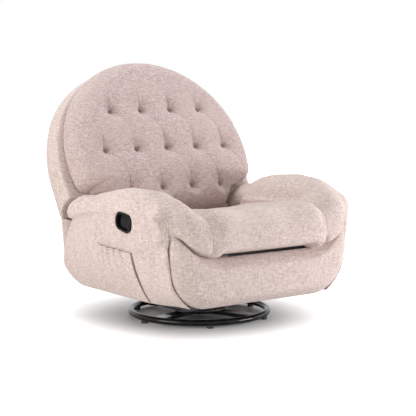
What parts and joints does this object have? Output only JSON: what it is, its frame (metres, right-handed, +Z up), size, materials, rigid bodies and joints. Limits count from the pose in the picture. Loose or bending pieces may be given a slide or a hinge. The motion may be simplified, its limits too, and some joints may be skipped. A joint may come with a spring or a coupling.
{
  "type": "swivel rocker recliner",
  "caption": "Upholstered swivel rocker recliner on a round ring foot: tufted reclining back, rolled arms, folding footrest on a scissor linkage, recessed release handle and a side pocket.",
  "frame": {"origin": "on the floor under the middle of the whole chair's box, with the swivel axis 70 mm in front of it", "axes": "+Z up, +X to the sitter's left, +Y to the rear, so the chair faces -Y"},
  "size_m": [0.9866, 1.0713, 1.008],
  "materials": {
    "upholstery": "matt short-pile chenille, dusty pink with a beige fleck",
    "frame_wood": "sawn hardwood and plywood, unfinished",
    "mechanism_steel": "satin dark powder coat",
    "bright_steel": "bright turned steel",
    "spring_steel": "oiled spring wire",
    "black_enamel": "gloss black enamel",
    "nylon": "matt black moulded nylon",
    "handle_plastic": "satin black moulding",
    "webbing": "black elastic webbing",
    "cable_sheath": "black sheathed cable"
  },
  "bodies": {
    "base": {"base_ring": "black_enamel", "base_cross": "black_enamel", "base_glides": "nylon", "swivel_lower_plate": "mechanism_steel", "swivel_ball_cage": "nylon", "swivel_balls": "bright_steel", "king_bolt": "bright_steel", "king_nut": "bright_steel"},
    "swivel_platform": {"swivel_upper_plate": "mechanism_steel", "rocker_brackets": "mechanism_steel", "rocker_shaft": "bright_steel", "rocker_springs": "spring_steel"},
    "chassis": {"rocker_hubs": "mechanism_steel", "rocker_cradle": "mechanism_steel", "chassis_front_tube": "mechanism_steel", "chassis_rear_tube": "mechanism_steel", "seat_front_rail": "frame_wood", "seat_rear_rail": "frame_wood", "seat_webbing": "webbing", "seat_cushion": "upholstery", "arm_base_rails": "frame_wood", "arm_spacers": "mechanism_steel", "side_pocket": "upholstery", "handle_bezel": "handle_plastic", "handle_pin": "bright_steel", "release_cable": "cable_sheath", "back_hinge_pins": "bright_steel", "mechanism_plate_left": "mechanism_steel", "mechanism_plate_right": "mechanism_steel", "seat_rail_left": "frame_wood", "seat_rail_right": "frame_wood", "arm_frame_left": "frame_wood", "arm_frame_right": "frame_wood", "arm_inner_panel_left": "upholstery", "arm_inner_panel_right": "upholstery", "arm_pad_left": "upholstery", "arm_pad_right": "upholstery", "side_panel_left": "upholstery", "side_panel_right": "upholstery"},
    "back": {"back_brackets": "mechanism_steel", "back_frame": "frame_wood", "back_cushion": "upholstery", "tuft_buttons": "upholstery", "back_shell": "upholstery", "back_skirt": "upholstery"},
    "lever": {"handle_lever": "handle_plastic"},
    "rear_lower_links": {"rear_lower_link_left": "mechanism_steel", "rear_lower_link_right": "mechanism_steel"},
    "rear_upper_links": {"rear_upper_link_left": "mechanism_steel", "rear_upper_link_right": "mechanism_steel"},
    "front_lower_links": {"front_lower_link_left": "mechanism_steel", "front_lower_link_right": "mechanism_steel"},
    "front_upper_links": {"front_upper_link_left": "mechanism_steel", "front_upper_link_right": "mechanism_steel"},
    "tilt_links": {"tilt_link_left": "mechanism_steel", "tilt_link_right": "mechanism_steel"},
    "footrest": {"footrest_bracket_left": "mechanism_steel", "footrest_bracket_right": "mechanism_steel", "footrest_board": "frame_wood", "footrest_pad": "upholstery"}
  },
  "joints": [
    {"name": "swivel", "type": "hinge", "parent": "base", "child": "swivel_platform", "pos_m": [0, -0.07, 0.04], "axis": [0, 0, 1], "continuous": true},
    {"name": "rock", "type": "hinge", "parent": "swivel_platform", "child": "chassis", "pos_m": [0, -0.07, 0.088], "axis": [1, 0, 0], "range_deg": [-8, 8], "stiffness_Nm_per_rad": 560, "springref_deg": 6.59, "deforming": ["rocker_springs"]},
    {"name": "back_recline", "type": "hinge", "parent": "chassis", "child": "back", "pos_m": [0, 0.09, 0.332], "axis": [-1, 0, 0], "range_deg": [0, 35], "deforming": ["back_skirt"]},
    {"name": "handle_pull", "type": "hinge", "parent": "chassis", "child": "lever", "pos_m": [-0.47507, -0.28237, 0.42097], "axis": [0, -0.2079, 0.9781], "range_deg": [0, 30], "stiffness_Nm_per_rad": 0.4},
    {"name": "footrest_extend", "type": "hinge", "parent": "chassis", "child": "rear_lower_links", "pos_m": [0, -0.36013, 0.282], "axis": [-1, 0, 0], "range_deg": [0, 65]},
    {"name": "rear_upper_swing", "type": "hinge", "parent": "rear_lower_links", "child": "rear_upper_links", "pos_m": [0, -0.37384, 0.2042], "axis": [-1, 0, 0], "range_deg": [-131, 1]},
    {"name": "front_lower_swing", "type": "hinge", "parent": "rear_upper_links", "child": "front_lower_links", "pos_m": [0, -0.38756, 0.282], "axis": [-1, 0, 0], "range_deg": [-1, 131]},
    {"name": "front_upper_swing", "type": "hinge", "parent": "rear_lower_links", "child": "front_upper_links", "pos_m": [0, -0.38756, 0.1264], "axis": [-1, 0, 0], "range_deg": [-131, 1]},
    {"name": "tilt_link_swing", "type": "hinge", "parent": "front_lower_links", "child": "tilt_links", "pos_m": [0, -0.415, 0.1264], "axis": [-1, 0, 0], "range_deg": [-127, 1]},
    {"name": "footrest_tilt", "type": "hinge", "parent": "front_upper_links", "child": "footrest", "pos_m": [0, -0.415, 0.282], "axis": [-1, 0, 0], "range_deg": [-1, 156]}
  ],
  "couplings": [
    {"joint": "rear_upper_swing", "follows": "footrest_extend", "ratio": -2},
    {"joint": "front_lower_swing", "follows": "footrest_extend", "ratio": 2},
    {"joint": "front_upper_swing", "follows": "footrest_extend", "ratio": -2},
    {"joint": "tilt_link_swing", "follows": "footrest_extend", "ratio": -1.931},
    {"joint": "footrest_tilt", "follows": "footrest_extend", "ratio": 2.3846}
  ]
}
